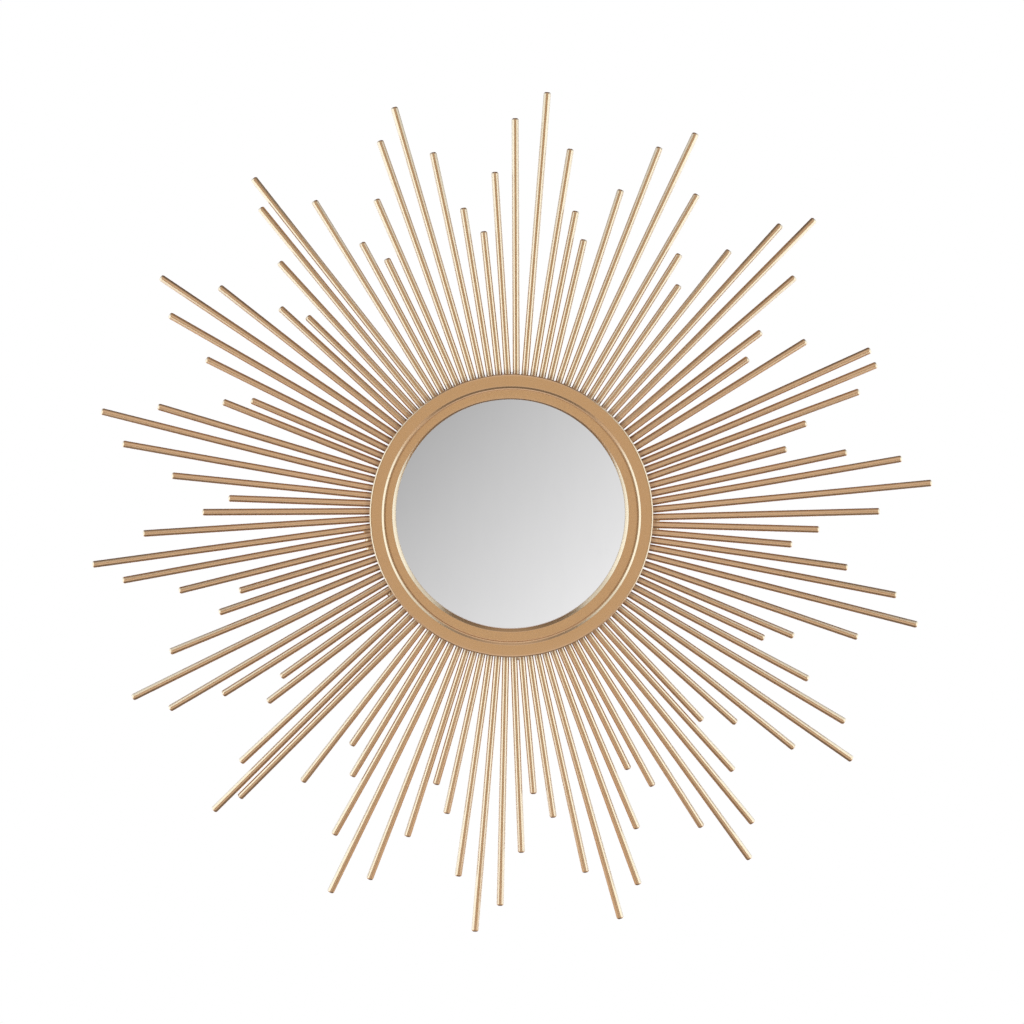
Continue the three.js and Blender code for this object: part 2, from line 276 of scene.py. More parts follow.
def add_piece(name, shells, material, replaces=(), body="mirror", sharp=35):
    """A new object from closed shells of (vertices in millimetres, faces). It rides on a CAD body."""
    vertices = []
    faces = []
    for points, polygons in shells:
        first = len(vertices)
        vertices.extend(point * MM for point in points)
        faces.extend([first + index for index in polygon] for polygon in polygons)
    mesh = bpy.data.meshes.new(name)
    mesh.from_pydata(vertices, [], faces)
    solid = bmesh.new()
    solid.from_mesh(mesh)
    bmesh.ops.recalc_face_normals(solid, faces=solid.faces)
    solid.to_mesh(mesh)
    solid.free()
    mesh.shade_smooth()
    mesh.set_sharp_from_angle(angle=math.radians(sharp))
    mesh.materials.append(material)
    piece = bpy.data.objects.new(name, mesh)
    bpy.context.scene.collection.objects.link(piece)
    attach(piece, body)
    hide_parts(*replaces)
    return piece


def soften(piece, width):
    """Rounds a piece's sharp edges a little."""
    bevel = piece.modifiers.new("soft_edges", "BEVEL")
    bevel.width = width * MM
    bevel.segments = 2
    bevel.limit_method = "ANGLE"
    bevel.angle_limit = math.radians(40)


def rounded(corners, steps=4):
    """A closed outline from corners of (x, y, round), each turned into an arc of that radius."""
    outline = []
    for index, (x, y, radius) in enumerate(corners):
        here = Vector((x, y))
        if radius == 0:
            outline.append(here)
            continue
        back = (Vector(corners[index - 1][:2]) - here).normalized()
        ahead = (Vector(corners[(index + 1) % len(corners)][:2]) - here).normalized()
        half = back.angle(ahead) / 2
        centre = here + (back + ahead).normalized() * (radius / math.sin(half))
        reach = radius / math.tan(half)
        start = here + back * reach - centre
        end = here + ahead * reach - centre
        for step in range(steps + 1):
            outline.append(centre + start.lerp(end, step / steps).normalized() * radius)
    return outline


def sections(rings, closed):
    """The faces that join rings of as many points each, numbered ring by ring. Open ends get caps."""
    count = len(rings[0])
    faces = []
    for ring in range(len(rings) if closed else len(rings) - 1):
        following = (ring + 1) % len(rings)
        for side in range(count):
            beside = (side + 1) % count
            faces.append([
                ring * count + side,
                ring * count + beside,
                following * count + beside,
                following * count + side,
            ])
    if not closed:
        last = (len(rings) - 1) * count
        faces.append(list(range(count)))
        faces.append([last + side for side in range(count)])
    return [point for ring in rings for point in ring], faces


def turned(outline, segments, centre=Vector((0, 0, 0)), uneven=None):
    """A closed outline of (radius, depth) turned about the Y axis through a centre.

    uneven(radius, depth, point on the unit circle) gives a small change of radius and depth.
    """
    rings = []
    for step in range(segments):
        bearing = 360 * step / segments
        around = on_bearing(1, bearing, 0)
        ring = []
        for radius, depth in outline:
            change = uneven(radius, depth, around) if uneven else (0, 0)
            point = around * (radius + change[0]) + FORWARD * (depth + change[1])
            ring.append(point + Vector((centre.x, 0, centre.z)))
        rings.append(ring)
    return sections(rings, closed=True)


def turned_disc(outline, segments, centre=Vector((0, 0, 0))):
    """A solid turned from an outline that starts and ends on the axis."""
    inner = outline[1:-1]
    rings = []
    for radius, depth in inner:
        ring = [on_bearing(radius, 360 * step / segments, depth) for step in range(segments)]
        rings.append([point + Vector((centre.x, 0, centre.z)) for point in ring])
    return sections(rings, closed=False)


def swept(path, radius, sides, closed):
    """A round wire along a path of points."""
    rings = []
    count = len(path)
    for index, point in enumerate(path):
        before = path[index - 1] if closed or index else point
        after = path[(index + 1) % count] if closed or index < count - 1 else point
        along = (after - before).normalized()
        across = along.cross(FORWARD).normalized()
        out = across.cross(along)
        ring = []
        for side in range(sides):
            angle = 2 * math.pi * side / sides
            ring.append(point + (across * math.cos(angle) + out * math.sin(angle)) * radius)
        rings.append(ring)
    return sections(rings, closed)


def prism(outline, rear_depth, front_depth, placing=Matrix.Identity(4)):
    """A flat plate from an outline in X and Z."""
    rings = []
    for depth in (rear_depth, front_depth):
        rings.append([placing @ Vector((x, -depth, z)) for x, z in outline])
    return sections(rings, closed=False)


def blob(centre, across, out, along, axes, lumps, seed):
    """A weld bead: an egg shape with an uneven skin, on three directions of its own."""
    rings = []
    for row in range(1, BLOB_SLICES):
        tilt = math.pi * row / BLOB_SLICES
        ring = []
        for side in range(BLOB_SIDES):
            angle = 2 * math.pi * side / BLOB_SIDES
            unit = Vector((
                math.sin(tilt) * math.cos(angle),
                math.sin(tilt) * math.sin(angle),
                math.cos(tilt),
            ))
            swell = 1 + lumps * noise.noise(unit * BLOB_LUMP_SCALE + Vector((seed, 0, 0)))
            ring.append(
                centre
                + across * (unit.x * axes[0] * swell)
                + out * (unit.y * axes[1] * swell)
                + along * (unit.z * axes[2] * swell)
            )
        rings.append(ring)
    return sections(rings, closed=False)


# ---- Materials ------------------------------------------------------------------------------------------

class Nodes:
    """Short ways to add nodes to one node tree. Each returns the new node's output socket."""

    def __init__(self, tree):
        self.tree = tree

    def add(self, kind, **settings):
        node = self.tree.nodes.new(kind)
        for name, value in settings.items():
            setattr(node, name, value)
        return node

    def feed(self, socket, value):
        if isinstance(value, bpy.types.NodeSocket):
            self.tree.links.new(value, socket)
        else:
            socket.default_value = value

    def math(self, operation, *values):
        node = self.add("ShaderNodeMath", operation=operation)
        for socket, value in zip(node.inputs, values):
            self.feed(socket, value)
        return node.outputs[0]

    def ramp(self, value, low, high, start=0.0, end=1.0):
        """start where value is low, end where it is high, and a smooth change between."""
        node = self.add("ShaderNodeMapRange", interpolation_type="SMOOTHSTEP")
        for socket, number in zip(node.inputs, (value, low, high, start, end)):
            self.feed(socket, number)
        return node.outputs[0]

    def blend(self, share, first, second):
        node = self.add("ShaderNodeMix", data_type="RGBA")
        self.feed(node.inputs[0], share)
        self.feed(node.inputs[6], first)
        self.feed(node.inputs[7], second)
        return node.outputs[2]

    def place(self, stretch=(1, 1, 1)):
        """Places on the object, in metres, stretched before a texture reads them."""
        where = self.add("ShaderNodeTexCoord").outputs["Object"]
        mapping = self.add("ShaderNodeMapping")
        mapping.inputs["Scale"].default_value = stretch
        self.tree.links.new(where, mapping.inputs["Vector"])
        return mapping.outputs[0]

    def noise(self, place, scale, detail=2.0, rough=0.5):
        node = self.add("ShaderNodeTexNoise")
        self.feed(node.inputs["Vector"], place)
        self.feed(node.inputs["Scale"], scale)
        self.feed(node.inputs["Detail"], detail)
        self.feed(node.inputs["Roughness"], rough)
        return node.outputs["Fac"]

    def cells(self, place, scale):
        node = self.add("ShaderNodeTexVoronoi")
        self.feed(node.inputs["Vector"], place)
        self.feed(node.inputs["Scale"], scale)
        return node.outputs["Distance"]

    def bump(self, height, strength, distance):
        node = self.add("ShaderNodeBump")
        self.feed(node.inputs["Height"], height)
        self.feed(node.inputs["Strength"], strength)
        self.feed(node.inputs["Distance"], distance)
        return node.outputs[0]


def new_material(name, metallic=0.0):
    """A material, its node helper and its shader."""
    material = bpy.data.materials.new(name)
    material.use_nodes = True
    shader = material.node_tree.nodes["Principled BSDF"]
    shader.inputs["Metallic"].default_value = metallic
    return material, Nodes(material.node_tree), shader


def scaled(colour, factor):
    return (*(channel * factor for channel in colour), 1.0)


def painted_shade_at_frame(nodes, place):
    """1 on the rays where they leave the frame, where painted shade darkens them, and 0 elsewhere."""
    across = nodes.add("ShaderNodeSeparateXYZ")
    nodes.feed(across.inputs[0], place)
    centre = middle_mm("front_frame") * MM
    x = nodes.math("SUBTRACT", across.outputs["X"], centre.x)
    z = nodes.math("SUBTRACT", across.outputs["Z"], centre.z)
    radius = nodes.math("SQRT", nodes.math("MULTIPLY_ADD", x, x, nodes.math("MULTIPLY", z, z)))
    edge = (box_mm("front_frame")[1].x - middle_mm("front_frame").x) * MM
    outside = nodes.ramp(radius, edge, edge + SHADE_START * MM)
    fading = nodes.ramp(radius, edge + SHADE_FULL * MM, edge + SHADE_END * MM, 1.0, 0.0)
    return nodes.math("MULTIPLY", outside, fading)


def gold_paint():
    """Gold metallic paint: fine flakes in a soft sheen, with slow changes in how thickly it lies, and
    painted shade on the rays beside the frame.
    """
    material, nodes, shader = new_material("gold_paint", metallic=1.0)
    colour = (0.55, 0.308, 0.13)
    thick = (0.60, 0.34, 0.15, 1)
    # Dark brown for the painted shade on the rays just outside the frame.
    dust_and_painted_shade = (0.22, 0.10, 0.035, 1)
    place = nodes.place()
    flakes = nodes.noise(place, 2000, detail=3, rough=0.65)
    clouds = nodes.noise(place, 38, detail=2)
    grain = nodes.blend(nodes.ramp(flakes, 0.33, 0.67), scaled(colour, 0.87), scaled(colour, 1.12))
    tone = nodes.ramp(clouds, 0.3, 0.7, 0.0, 0.14)
    painted = nodes.blend(tone, grain, thick)
    # Painted shade: the base colour darkens towards dark brown on the rays just outside the frame, where
    # the frame shades them.
    shade = nodes.math("MULTIPLY", painted_shade_at_frame(nodes, place), SHADE_STRENGTH)
    nodes.feed(shader.inputs["Base Color"], nodes.blend(shade, painted, dust_and_painted_shade))
    nodes.feed(shader.inputs["Roughness"], nodes.ramp(nodes.noise(place, 900), 0.3, 0.7, 0.22, 0.29))
    nodes.feed(shader.inputs["Normal"], nodes.bump(flakes, 0.12, 0.00006))
    shader.inputs["Coat Weight"].default_value = 0.6
    shader.inputs["Coat IOR"].default_value = 1.6
    shader.inputs["Coat Roughness"].default_value = 0.2
    return material


def silvered_glass():
    """Mirror glass, with the faintest haze of a wiped surface."""
    material, nodes, shader = new_material("silvered_glass", metallic=1.0)
    clear = (0.911, 0.908, 0.912, 1)
    wiped = (0.899, 0.896, 0.901, 1)
    haze = nodes.noise(nodes.place((1, 1, 0.35)), 60, detail=4, rough=0.6)
    silver = nodes.blend(nodes.ramp(haze, 0.3, 0.8), clear, wiped)
    nodes.feed(shader.inputs["Base Color"], silver)
    nodes.feed(shader.inputs["Roughness"], nodes.ramp(haze, 0.45, 0.8, 0.012, 0.03))
    return material


def felt():
    """Dark felt: short fibres and tufts."""
    material, nodes, shader = new_material("felt")
    dark = (0.05, 0.05, 0.054, 1)
    pale = (0.10, 0.10, 0.105, 1)
    fibres = nodes.noise(nodes.place((1, 1, 4)), 900, detail=4, rough=0.7)
    tufts = nodes.cells(nodes.place(), 500)
    colour = nodes.blend(nodes.ramp(fibres, 0.3, 0.7), dark, pale)
    nodes.feed(shader.inputs["Base Color"], colour)
    nodes.feed(shader.inputs["Normal"], nodes.bump(nodes.math("ADD", fibres, tufts), 0.6, 0.0004))
    shader.inputs["Roughness"].default_value = 0.95
    shader.inputs["Sheen Weight"].default_value = 0.4
    return material


def fibreboard():
    """Bare pressed board: pale and dark fibres at all angles, under slow stains."""
    material, nodes, shader = new_material("fibreboard")
    dark = (0.235, 0.142, 0.078, 1)
    pale = (0.42, 0.285, 0.175, 1)
    stained = (0.27, 0.168, 0.095, 1)
    long_fibres = nodes.noise(nodes.place((1, 1, 5)), 260, detail=5, rough=0.7)
    cross_fibres = nodes.noise(nodes.place((5, 1, 1)), 300, detail=5, rough=0.7)
    stains = nodes.noise(nodes.place(), 22, detail=3)
    fibres = nodes.math("MULTIPLY", nodes.math("ADD", long_fibres, cross_fibres), 0.5)
    pulp = nodes.blend(nodes.ramp(fibres, 0.38, 0.62), dark, pale)
    colour = nodes.blend(nodes.ramp(stains, 0.35, 0.7, 0.0, 0.35), pulp, stained)
    nodes.feed(shader.inputs["Base Color"], colour)
    nodes.feed(shader.inputs["Roughness"], nodes.ramp(fibres, 0.35, 0.65, 0.72, 0.88))
    nodes.feed(shader.inputs["Normal"], nodes.bump(fibres, 0.35, 0.0002))
    return material


def zinc_steel():
    """Bright zinc plate: clouded, finely scratched."""
    material, nodes, shader = new_material("zinc_steel", metallic=1.0)
    dull = (0.47, 0.46, 0.44, 1)
    bright = (0.60, 0.585, 0.555, 1)
    clouds = nodes.noise(nodes.place(), 260, detail=3)
    scratches = nodes.noise(nodes.place((14, 1, 1)), 420, detail=3, rough=0.7)
    colour = nodes.blend(nodes.ramp(clouds, 0.3, 0.7), dull, bright)
    nodes.feed(shader.inputs["Base Color"], colour)
    nodes.feed(shader.inputs["Roughness"], nodes.ramp(clouds, 0.3, 0.7, 0.26, 0.42))
    nodes.feed(shader.inputs["Normal"], nodes.bump(scratches, 0.12, 0.0001))
    return material


def rubber():
    """Black rubber with a grained skin and a little dust."""
    material, nodes, shader = new_material("rubber")
    black = (0.018, 0.018, 0.019, 1)
    dust_and_painted_shade = (0.05, 0.048, 0.045, 1)
    skin = nodes.noise(nodes.place(), 1600, detail=3)
    dust = nodes.noise(nodes.place(), 180, detail=3)
    colour = nodes.blend(nodes.ramp(dust, 0.45, 0.75, 0.0, 0.5), black, dust_and_painted_shade)
    nodes.feed(shader.inputs["Base Color"], colour)
    nodes.feed(shader.inputs["Roughness"], nodes.ramp(skin, 0.3, 0.7, 0.55, 0.75))
    nodes.feed(shader.inputs["Normal"], nodes.bump(skin, 0.25, 0.0001))
    return material


def pale_floor():
    material, _, shader = new_material("pale_floor")
    shader.inputs["Base Color"].default_value = (0.8, 0.8, 0.79, 1)
    shader.inputs["Roughness"].default_value = 0.7
    return material


GOLD = gold_paint()
SILVER = silvered_glass()
FELT = felt()
BOARD = fibreboard()
STEEL = zinc_steel()
RUBBER = rubber()


# ---- Rays and welds -------------------------------------------------------------------------------------

def ray_axes(fan_node):
    """The inner end and tip of each ray of a fan, clockwise.

    They are the only points of the fan's mesh that lie in the plane of the rays' axes.
    """
    ends = {}
    for vertex in frame["nodes"][fan_node].data.vertices:
        point = vertex.co / MM
        if abs(point.y - RAY_Y) < 0.01:
            ends[round(point.x, 1), round(point.z, 1)] = point
    outwards = sorted(ends.values(), key=lambda point: point.length)
    inner = sorted(outwards[:RAYS_PER_FAN], key=bearing_of)
    tips = sorted(outwards[RAYS_PER_FAN:], key=bearing_of)
    return list(zip(inner, tips))


def ray_bar(start, tip):
    """A round bar with a chamfer at its hidden end and a rounded tip."""
    along = (tip - start).normalized()
    across = along.cross(FORWARD)
    length = (tip - start).length
    outline = [(RAY_RADIUS - INNER_CHAMFER, 0), (RAY_RADIUS, INNER_CHAMFER)]
    for step in range(TIP_STEPS + 1):
        angle = math.pi / 2 * step / TIP_STEPS
        radius = RAY_RADIUS - TIP_ROUND * (1 - math.cos(angle))
        outline.append((radius, length - TIP_ROUND * (1 - math.sin(angle))))
    rings = []
    for radius, reach in outline:
        ring = []
        for side in range(RAY_SIDES):
            angle = 2 * math.pi * side / RAY_SIDES
            turn = across * math.cos(angle) + FORWARD * math.sin(angle)
            ring.append(start + along * reach + turn * radius)
        rings.append(ring)
    return sections(rings, closed=False)


def add_rays():
    """Every ray as a piece of its own. Returns the axes of all of them, clockwise."""
    axes = []
    for fan_node in FAN_NODES:
        number = fan_node[-2:]
        for letter, (start, tip) in zip("abcdef", ray_axes(fan_node)):
            axes.append((start, tip))
            add_piece(f"ray_{number}_{letter}", [ray_bar(start, tip)], GOLD, [fan_node])
    return axes


def point_at_radius(start, tip, radius):
    """Where a ray's axis passes a radius about the crown's centre."""
    along = (tip - start).normalized()
    return start + along * (radius - math.hypot(start.x, start.z))


def add_hoop_beads(axes):
    """The weld bead that holds each ray to the edge of the hoop, seen from behind."""
    low, high = box_mm("weld_hoop")
    beads = []
    for index, (start, tip) in enumerate(axes):
        along = (tip - start).normalized()
        across = along.cross(FORWARD)
        centre = point_at_radius(start, tip, high.x + BEAD_OUT)
        centre.y = low.y - BEAD_AHEAD
        seed = index * BEAD_SEED_STEP
        beads.append(blob(centre, across, FORWARD, along, BEAD_AXES, BEAD_LUMPS, seed))
    add_piece("hoop_weld_beads", beads, GOLD)


def add_weld_webs(axes):
    """Weld metal that shows in front, between neighbouring rays just outside the frame."""
    webs = []
    for index, (start, tip) in enumerate(axes):
        after = axes[(index + 1) % len(axes)]
        here = point_at_radius(start, tip, WEB_RADIUS)
        there = point_at_radius(*after, WEB_RADIUS)
        centre = (here + there) / 2
        near = min(abs(bearing_of(centre) - bearing) for bearing in WEB_BEARINGS)
        if near < WEB_BEARING_REACH:
            along = (tip - start).normalized()
            across = along.cross(FORWARD)
            centre += FORWARD * WEB_AHEAD
            seed = index * WEB_SEED_STEP
            webs.append(blob(centre, across, FORWARD, along, WEB_AXES, WEB_LUMPS, seed))
    add_piece("ray_weld_webs", webs, GOLD)


# ---- Frame, bezel and glass -----------------------------------------------------------------------------

def waves(size_and_scale, around):
    """Slow waves round a ring, at a point on the unit circle."""
    size, scale = size_and_scale
    return size * noise.noise(around * scale)


def add_front_frame():
    """Flat band with a sloping inner edge and a rolled outer one that isn't quite round."""
    low, high = box_mm("front_frame")
    outer = (high.x - low.x) / 2
    front = -low.y
    rear = -high.y
    crease = outer - FRAME_BAND
    inner = crease - FRAME_BEVEL
    plate_rear = front - FRAME_PLATE
    bevel_foot = front - FRAME_BEVEL_DEPTH
    flat_end = outer - FRAME_EDGE_ROUND - FLAT_END_MARGIN
    outline = rounded([
        (inner, plate_rear, 0),
        (inner, bevel_foot - FRAME_FOOT_DROP, FRAME_FOOT_ROUND),
        (inner + FRAME_BEVEL_FOOT, bevel_foot, SMALL_ROUND),
        (crease, front, CREASE_ROUND),
        (crease + FLAT_MARGIN, front, 0),
        (flat_end, front, 0),
        (outer, front, FRAME_EDGE_ROUND),
        (outer, rear, SMALL_ROUND),
        (outer - FRAME_SKIRT, rear, SMALL_ROUND),
        (outer - FRAME_SKIRT, plate_rear, FRAME_SKIRT_ROUND),
    ])

    def uneven(radius, depth, around):
        edge = max(0.0, 1 - (outer - radius) / EDGE_REACH)
        lumps = sum(size * noise.noise(around * scale) for size, scale in EDGE_LUMPS)
        dip = min(waves(FRAME_WAVES, around), 0)
        return edge * min(lumps, EDGE_MOST_OUT), dip - edge * EDGE_TURN_BACK

    shell = turned(outline, RING_SEGMENTS, middle_mm("front_frame"), uneven)
    add_piece("front_frame_ring", [shell], GOLD, ["front_frame"], sharp=50)


def add_bezel():
    """Inner band with a lip that slopes down to the glass and a rim behind that holds the discs.

    The lip's edge reaches further in over the top of the glass than round the sides. Only points on the
    front are moved: the rim behind stays true.
    """
    low, high = box_mm("bezel_ring")
    outer = (high.x - low.x) / 2
    front = -low.y
    rear = -high.y
    lip = outer - BEZEL_BAND
    plate_rear = front - BEZEL_PLATE
    lip_rear = front - BEZEL_LIP_DEPTH
    centre = middle_mm("bezel_ring")
    frame_centre = middle_mm("front_frame")
    frame_outer = box_mm("front_frame")[1].x - frame_centre.x
    frame_inner = frame_outer - FRAME_BAND - FRAME_BEVEL
    roll_start = frame_inner - ROLL_REACH
    across_roll = [(roll_start + step * ROLL_SPACING, front, 0) for step in range(ROLL_POINTS)]
    outline = rounded([
        (lip - BEZEL_LIP, lip_rear, BEZEL_LIP_ROUND),
        (lip - BEZEL_LIP + BEZEL_LIP_WALL, front - BEZEL_LIP_SLOPE, BEZEL_LIP_ROUND),
        (lip, front, CREASE_ROUND),
        (lip + FLAT_MARGIN, front, 0),
        *across_roll,
        (outer, front, SMALL_ROUND),
        (outer, plate_rear, SMALL_ROUND),
        (outer - BEZEL_RIM_OUT, plate_rear, SMALL_ROUND),
        (outer - BEZEL_RIM_OUT, rear, SMALL_ROUND),
        (outer - BEZEL_RIM_IN, rear, SMALL_ROUND),
        (outer - BEZEL_RIM_IN, lip_rear, 0),
    ])

    def uneven(radius, depth, around):
        if depth < plate_rear + CORNER_MARGIN:
            return 0, 0
        from_frame = centre + around * radius - frame_centre
        past_start = math.hypot(from_frame.x, from_frame.z) - frame_inner + ROLL_WIDTH
        drop = ROLL_DEPTH * min(max(past_start / ROLL_WIDTH, 0), 1)
        dip = abs(waves(BEZEL_WAVES, around + BEZEL_WAVE_SHIFT))
        at_lip = radius < lip + CORNER_MARGIN
        reach = BEZEL_TOP_OVERHANG * max(around.z, 0) ** OVERHANG_FADE if at_lip else 0
        return -reach, -drop - dip

    shell = turned(outline, RING_SEGMENTS, centre, uneven)
    add_piece("bezel_band", [shell], GOLD, ["bezel_ring"], sharp=50)


def add_disc(name, node, material, edge):
    """A disc with rounded edges in place of a CAD disc."""
    low, high = box_mm(node)
    radius = (high.x - low.x) / 2
    flat = radius - 2 * edge
    angles = [math.pi / 2 * step / DISC_EDGE_STEPS for step in range(DISC_EDGE_STEPS + 1)]
    outline = [(0, -low.y), (flat, -low.y)]
    for angle in angles:
        outline.append((radius - edge * (1 - math.sin(angle)), -low.y - edge * (1 - math.cos(angle))))
    for angle in angles:
        outline.append((radius - edge * (1 - math.cos(angle)), -high.y + edge * (1 - math.sin(angle))))
    outline += [(flat, -high.y), (0, -high.y)]
    shell = turned_disc(outline, RING_SEGMENTS // 2, middle_mm(node))
    return add_piece(name, [shell], material, [node])


# ---- Hardware on the back -------------------------------------------------------------------------------

def add_hoop():
    """The flat hoop that the rays are welded to."""
    low, high = box_mm("weld_hoop")
    outer = (high.x - low.x) / 2
    outline = rounded([
        (outer - HOOP_WIDTH, -high.y, SMALL_ROUND),
        (outer - HOOP_WIDTH, -low.y, SMALL_ROUND),
        (outer, -low.y, SMALL_ROUND),
        (outer, -high.y, HOOP_REAR_ROUND),
    ])

    def uneven(radius, depth, around):
        return waves(HOOP_WAVES, around), 0

    shell = turned(outline, RING_SEGMENTS // 2, uneven=uneven)
    add_piece("weld_hoop_ring", [shell], GOLD, ["weld_hoop"])


def pan_head(shank_length):
    """A pan-head screw on the Y axis, driven towards the viewer from behind, its crown at y = 0."""
    shoulder = SCREW_HEAD_RADIUS - SCREW_CROWN
    screw_end = SCREW_HEAD_HEIGHT + shank_length
    outline = [(0, 0), (SCREW_CROWN, 0)]
    for step in range(1, SCREW_HEAD_STEPS + 1):
        angle = math.pi / 2 * step / SCREW_HEAD_STEPS
        depth = SCREW_HEAD_ROUND * (1 - math.cos(angle))
        outline.append((SCREW_CROWN + shoulder * math.sin(angle), depth))
    outline += [
        (SCREW_HEAD_RADIUS, SCREW_HEAD_HEIGHT),
        (SCREW_SHANK, SCREW_HEAD_HEIGHT),
        (SCREW_SHANK, screw_end),
        (0, screw_end),
    ]
    return turned_disc(outline, SMALL_SIDES)


def cross_cutter():
    """Two crossed tapered blades that cut a screw's recess."""
    shells = []
    for turn in (0, math.pi / 2):
        rings = []
        for depth, half_length, half_width in (RECESS_TOP, RECESS_FOOT):
            corners = []
            for x, z in ((-1, -1), (1, -1), (1, 1), (-1, 1)):
                corner = Vector((x * half_length, -depth, z * half_width))
                corners.append(Matrix.Rotation(turn, 3, "Y") @ corner)
            rings.append(corners)
        shells.append(sections(rings, closed=False))
    return shells


def plain_object(name, shells):
    """An object for a boolean cut, in millimetres."""
    solid = bmesh.new()
    for points, polygons in shells:
        vertices = [solid.verts.new(point) for point in points]
        for polygon in polygons:
            solid.faces.new([vertices[index] for index in polygon])
    bmesh.ops.recalc_face_normals(solid, faces=solid.faces)
    mesh = bpy.data.meshes.new(name)
    solid.to_mesh(mesh)
    solid.free()
    made = bpy.data.objects.new(name, mesh)
    bpy.context.scene.collection.objects.link(made)
    return made


def cut_screw(shank_length):
    """The vertices and faces of one screw at the origin, its crown at y = 0, with its recess cut."""
    head = plain_object("screw_blank", [pan_head(shank_length)])
    blades = [plain_object("screw_blade", [shell]) for shell in cross_cutter()]
    for blade in blades:
        cut = head.modifiers.new("recess", "BOOLEAN")
        cut.operation = "DIFFERENCE"
        cut.solver = "EXACT"
        cut.object = blade
    bpy.context.view_layer.update()
    evaluated = head.evaluated_get(bpy.context.evaluated_depsgraph_get())
    mesh = bpy.data.meshes.new_from_object(evaluated)
    vertices = [vertex.co.copy() for vertex in mesh.vertices]
    faces = [list(polygon.vertices) for polygon in mesh.polygons]
    for made in [head, *blades]:
        bpy.data.objects.remove(made)
    return vertices, faces


def add_screws():
    """Every screw in place, each with its recess turned on from the one before."""
    screws = sorted(name for name in frame["nodes"] if "_screw_" in name)
    for index, node in enumerate(screws):
        low, high = box_mm(node)
        vertices, faces = cut_screw(high.y - low.y - SCREW_HEAD_HEIGHT)
        spin = Matrix.Rotation(math.radians(SCREW_TURN_STEP * index + FIRST_SCREW_TURN), 3, "Y")
        centre = middle_mm(node)
        placed = [spin @ vertex + Vector((centre.x, high.y, centre.z)) for vertex in vertices]
        add_piece(node + "_head", [(placed, faces)], STEEL, [node], sharp=30)


def add_clips():
    """Turn clips with round ends, each on its screw and pointing to the middle of the board."""
    outline = []
    for centre, first in ((0, 0), (-CLIP_LENGTH, math.pi)):
        for step in range(CLIP_END_STEPS + 1):
            angle = first + math.pi * step / CLIP_END_STEPS
            end = Vector((math.cos(angle), math.sin(angle))) * CLIP_HALF_WIDTH
            outline.append((end.x, centre + end.y))
    for number in range(1, 5):
        node = f"board_clip_{number}"
        low, high = box_mm(node)
        pivot = middle_mm(f"clip_screw_{number}")
        spot = Matrix.Translation((pivot.x, 0, pivot.z))
        placing = spot @ Matrix.Rotation(math.radians(bearing_of(pivot)), 4, "Y")
        shell = prism(outline, -high.y, -low.y, placing)
        clip = add_piece(node + "_plate", [shell], STEEL, [node])
        soften(clip, CLIP_SOFT_EDGE)


def ribbon(path, half_widths):
    """A bent strip of sheet metal along a path in the YZ plane, with a half width at each point."""
    rings = []
    for index, point in enumerate(path):
        before = path[max(index - 1, 0)]
        after = path[min(index + 1, len(path) - 1)]
        along = (after - before).normalized()
        out = along.cross(Vector((1, 0, 0))) * (STRAP_THICKNESS / 2)
        side = Vector((half_widths[index], 0, 0))
        rings.append([point - side - out, point + side - out, point + side + out, point - side + out])
    return sections(rings, closed=False)


def add_straps():
    """Strap hangers: a flat tail with rounded corners, rolled at the top round the ring's straight bar."""
    for joint in frame["joints"]:
        side = "left" if "left" in joint["child"] else "right"
        node = "hanger_strap_" + side
        low, high = box_mm(node)
        axis = Vector(joint["pos_m"]) / MM
        half = (high.x - low.x) / 2
        tail_y = low.y + STRAP_THICKNESS / 2
        path = []
        widths = []
        for step in range(STRAP_CORNER_STEPS + 1):
            angle = math.pi / 2 * step / STRAP_CORNER_STEPS
            path.append(Vector((axis.x, tail_y, low.z + STRAP_CORNER * (1 - math.cos(angle)))))
            widths.append(half - STRAP_CORNER * (1 - math.sin(angle)))
        for step in range(LOOP_STEPS + 1):
            angle = math.pi - math.radians(LOOP_TURN) * step / LOOP_STEPS
            path.append(axis + Vector((0, math.cos(angle), math.sin(angle))) * LOOP_RADIUS)
            widths.append(half)
        strap = add_piece(node + "_sheet", [ribbon(path, widths)], STEEL, [node], sharp=50)
        soften(strap, STRAP_SOFT_EDGE)


def ring_path(axis):
    """The middle line of a D-ring: its straight bar on the axis, rounded corners and a round bow below."""
    inner = RING_HALF_WIDTH - RING_CORNER
    quarter = math.pi / 2
    path = []
    for x, z, radius, first, turn, steps in (
        (inner, -RING_CORNER, RING_CORNER, quarter, quarter, RING_CORNER_STEPS),
        (0, -RING_STRAIGHT, RING_HALF_WIDTH, 0, math.pi, RING_BOW_STEPS),
        (-inner, -RING_CORNER, RING_CORNER, math.pi, quarter, RING_CORNER_STEPS),
    ):
        for step in range(steps + 1):
            angle = first - turn * step / steps
            path.append(axis + Vector((x + radius * math.cos(angle), 0, z + radius * math.sin(angle))))
    return path


def add_hanger_rings():
    """The D-rings, each on the body that its joint swings."""
    for joint in frame["joints"]:
        body = joint["child"]
        side = "left" if "left" in body else "right"
        node = "hanger_ring_" + side
        path = ring_path(Vector(joint["pos_m"]) / MM)
        shell = swept(path, RING_WIRE, RING_WIRE_SIDES, closed=True)
        add_piece(node + "_wire", [shell], STEEL, [node], body=body, sharp=60)


